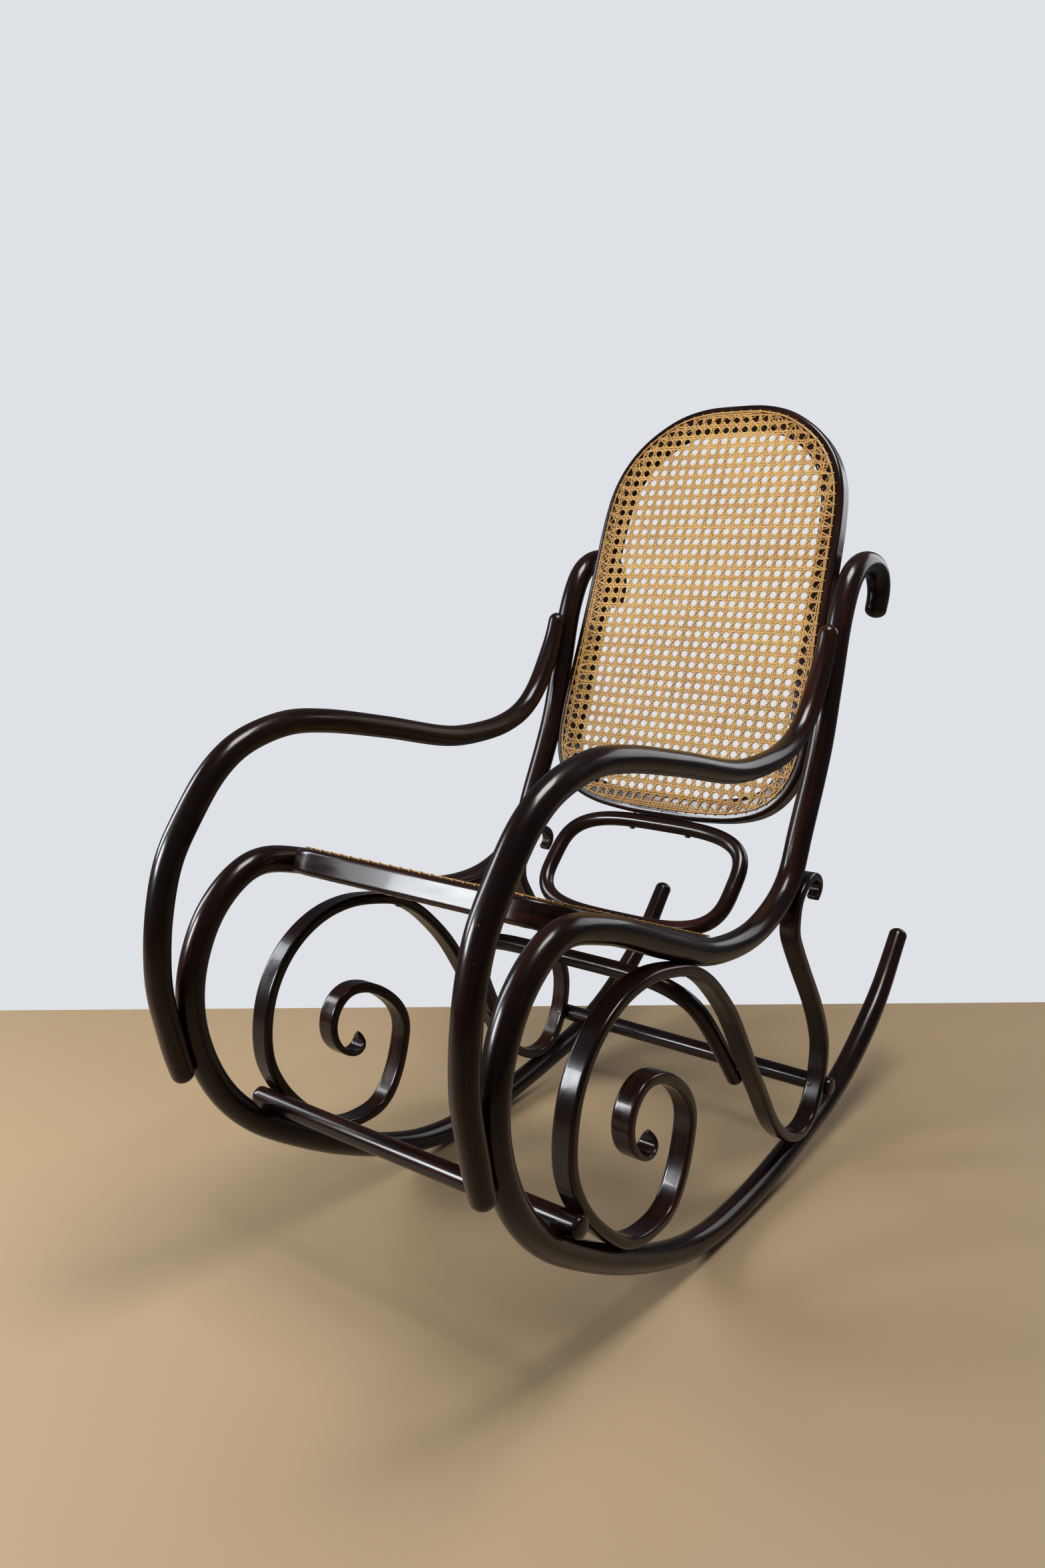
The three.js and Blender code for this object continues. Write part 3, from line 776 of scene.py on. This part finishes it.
def add_caned_frame(prefix, outline, pl, bar, thickness, sag, seed):
    """A bent frame whose face lies in a plane, caned over its drilled holes. Its seam is at the rear."""
    o, e1, e2, e3 = pl
    mid_depth = (o - e3 * thickness / 2, e1, e2, e3)
    middle = resample(inset(outline, bar / 2), STEP, True)
    from_rear = np.roll(middle, len(middle) // 2, 0)
    rod(f"{prefix}_frame", from_rear, mid_depth, rounded_bar(thickness, bar, BAR_ROUND), closed=True)
    holes = resample(inset(outline, HOLE_LINE), PITCH, True)
    for kind, strands in weave(outline, holes, pl, sag, seed).items():
        strands.piece(f"{prefix}_cane_{kind}", f"{prefix}_cane")
    bind(outline, holes, pl, seed + 3).piece(f"{prefix}_binder_cane", f"{prefix}_binder")
    loops(holes, pl, thickness, seed + 4).piece(f"{prefix}_cane_knots", f"{prefix}_cane")


# ---- screws ----
def screw_mesh(length):
    """A round-headed slotted screw along -Z, its head's rim at z = 0."""
    head = [(0, 1.6), (1.5, 1.52), (2.8, 1.2), (3.8, 0.7), (SCREW_HEAD_R, 0), (SCREW_HEAD_R, -0.5)]
    shank = [(2.1, -3.0), (2.0, -length + 3), (0, -length)]
    bm = bmesh.new()
    made = [bm.verts.new((r * MM, 0, z * MM)) for r, z in head + shank]
    edges = [bm.edges.new(pair) for pair in zip(made, made[1:])]
    bmesh.ops.spin(bm, geom=made + edges, cent=(0, 0, 0), axis=(0, 0, 1), angle=2 * math.pi,
                   steps=SCREW_SIDES, use_merge=True)
    bmesh.ops.remove_doubles(bm, verts=bm.verts, dist=1e-6)
    for side in (-1, 1):
        bmesh.ops.bisect_plane(bm, geom=bm.verts[:] + bm.edges[:] + bm.faces[:],
                               plane_co=(0, side * SLOT_HALF * MM, 0), plane_no=(0, 1, 0))
    bmesh.ops.recalc_face_normals(bm, faces=bm.faces)
    slot = [f for f in bm.faces if abs(f.calc_center_median().y) < SLOT_HALF * MM
            and f.calc_center_median().z > 0.1 * MM]
    moved = bmesh.ops.extrude_face_region(bm, geom=slot)["geom"]
    bmesh.ops.delete(bm, geom=slot, context="FACES")
    down = [v for v in moved if isinstance(v, bmesh.types.BMVert)]
    bmesh.ops.translate(bm, verts=down, vec=(0, 0, -SLOT_DEPTH * MM))
    return bm


def add_screws():
    """A screw in the place of each CAD screw, along its axis and with its head at the same end."""
    for node in sorted(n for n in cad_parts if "_screw_" in n):
        at = np.array([v.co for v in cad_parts[node].data.vertices])
        centre = at.mean(0)
        axis = np.linalg.svd(at - centre)[2][0]
        along = (at - centre) @ axis
        away = np.linalg.norm(at - centre - along[:, None] * axis, axis=1)
        middle = (along.min() + along.max()) / 2
        if away[along > middle].max() < away[along < middle].max():
            axis, along = -axis, -along
        bm = screw_mesh((along.max() - along.min()) / MM - SCREW_RIM)
        mesh = bpy.data.meshes.new(f"{node}_piece")
        bm.to_mesh(mesh)
        bm.free()
        mesh.materials.append(STEEL)
        obj = new_object(f"{node}_piece", mesh)
        obj.location = centre + axis * (along.max() - SCREW_RIM * MM)
        obj.rotation_mode = "QUATERNION"
        obj.rotation_quaternion = Vector(axis).to_track_quat("Z", "Y")
        stand_for(obj, [node])


# ---- stage ----
def floor_paint():
    n = Nodes("floor")
    shaded = tuple(FLOOR_SHADE * c for c in FLOOR_COLOUR[:3]) + (1,)
    n.set(Base_Color=n.mix(n.noise(n.place(), 0.8, 3.0), FLOOR_COLOUR, shaded),
          Roughness=FLOOR_ROUGHNESS)
    return n.material


def add_floor():
    """A floor that ends where the camera sees the wall begin."""
    corners = [(-FLOOR_HALF, FLOOR_NEAR, 0), (FLOOR_HALF, FLOOR_NEAR, 0),
               (FLOOR_HALF, FLOOR_END, 0), (-FLOOR_HALF, FLOOR_END, 0)]
    mesh = bpy.data.meshes.new("floor")
    mesh.from_pydata(corners, [], [(0, 1, 2, 3)])
    mesh.materials.append(floor_paint())
    floor = new_object("floor", mesh)
    floor.location = (CAMERA_AT[0] * MM, (CAMERA_AT[1] + SHIFT) * MM, 0)
    floor.rotation_euler = (0, 0, math.radians(AZIMUTH))


def add_lamps():
    for name, (place, target, size, watts, colour) in LAMPS.items():
        lamp = bpy.data.lights.new(name, "AREA")
        lamp.shape = "RECTANGLE"
        lamp.size, lamp.size_y = size
        lamp.energy = watts
        lamp.color = colour
        obj = new_object(name, lamp)
        obj.location = place
        obj.rotation_mode = "QUATERNION"
        obj.rotation_quaternion = (Vector(target) - Vector(place)).to_track_quat("-Z", "Y")


def add_world():
    """A dim light all round. The camera sees a plain wall instead, and the floor's colour lower down."""
    world = bpy.data.worlds.new("room")
    world.use_nodes = True
    nodes, links = world.node_tree.nodes, world.node_tree.links
    seen, lit = nodes["Background"], nodes.new("ShaderNodeBackground")
    floor_edge = -math.sin(math.atan2(CAMERA_AT[2] * MM, FLOOR_END))
    way, part, below = (nodes.new(f"ShaderNode{kind}")
                        for kind in ("TexCoord", "SeparateXYZ", "MapRange"))
    links.new(way.outputs["Generated"], part.inputs[0])
    links.new(part.outputs["Z"], below.inputs["Value"])
    below.inputs["From Min"].default_value = floor_edge - SEEN_FROM
    below.inputs["From Max"].default_value = floor_edge - SEEN_TO
    paint = nodes.new("ShaderNodeMix")
    paint.data_type = "RGBA"
    links.new(below.outputs[0], paint.inputs[0])
    paint.inputs[6].default_value = WALL_SEEN
    paint.inputs[7].default_value = FLOOR_SEEN
    links.new(paint.outputs[2], seen.inputs["Color"])
    lit.inputs["Color"].default_value = WORLD_LIGHT
    lit.inputs["Strength"].default_value = WORLD_STRENGTH
    path, choose = nodes.new("ShaderNodeLightPath"), nodes.new("ShaderNodeMixShader")
    links.new(path.outputs["Is Camera Ray"], choose.inputs[0])
    links.new(lit.outputs[0], choose.inputs[1])
    links.new(seen.outputs[0], choose.inputs[2])
    links.new(choose.outputs[0], nodes["World Output"].inputs["Surface"])
    bpy.context.scene.world = world
    bpy.context.scene.view_settings.view_transform = "Standard"


def add_camera():
    yaw, down, roll = (math.radians(v) for v in (AZIMUTH, PITCH_DOWN, ROLL))
    back = Vector((math.sin(yaw) * math.cos(down), -math.cos(yaw) * math.cos(down), math.sin(down)))
    right = Vector((math.cos(yaw), math.sin(yaw), 0))
    up = back.cross(right)
    turned_right = right * math.cos(roll) + up * math.sin(roll)
    turned_up = up * math.cos(roll) - right * math.sin(roll)
    camera = bpy.data.cameras.new("camera")
    camera.lens = LENS
    camera.sensor_width = SENSOR
    obj = new_object("camera", camera)
    at = Vector(CAMERA_AT) * MM
    at.y += SHIFT * MM
    turn = Matrix((turned_right, turned_up, back)).transposed()
    obj.matrix_world = Matrix.Translation(at) @ turn.to_4x4()
    bpy.context.scene.camera = obj


add_sides()
add_stretchers()
add_arch()
add_ring()
add_caned_frame("back", back_outline(), BACK_PLANE, BACK_BAR, BACK_T, 0, BACK_SEED)
add_caned_frame("seat", seat_outline(), SEAT_PLANE, SEAT_BAR, SEAT_T, SEAT_SAG, SEAT_SEED)
add_screws()
add_floor()
add_lamps()
add_world()
add_camera()
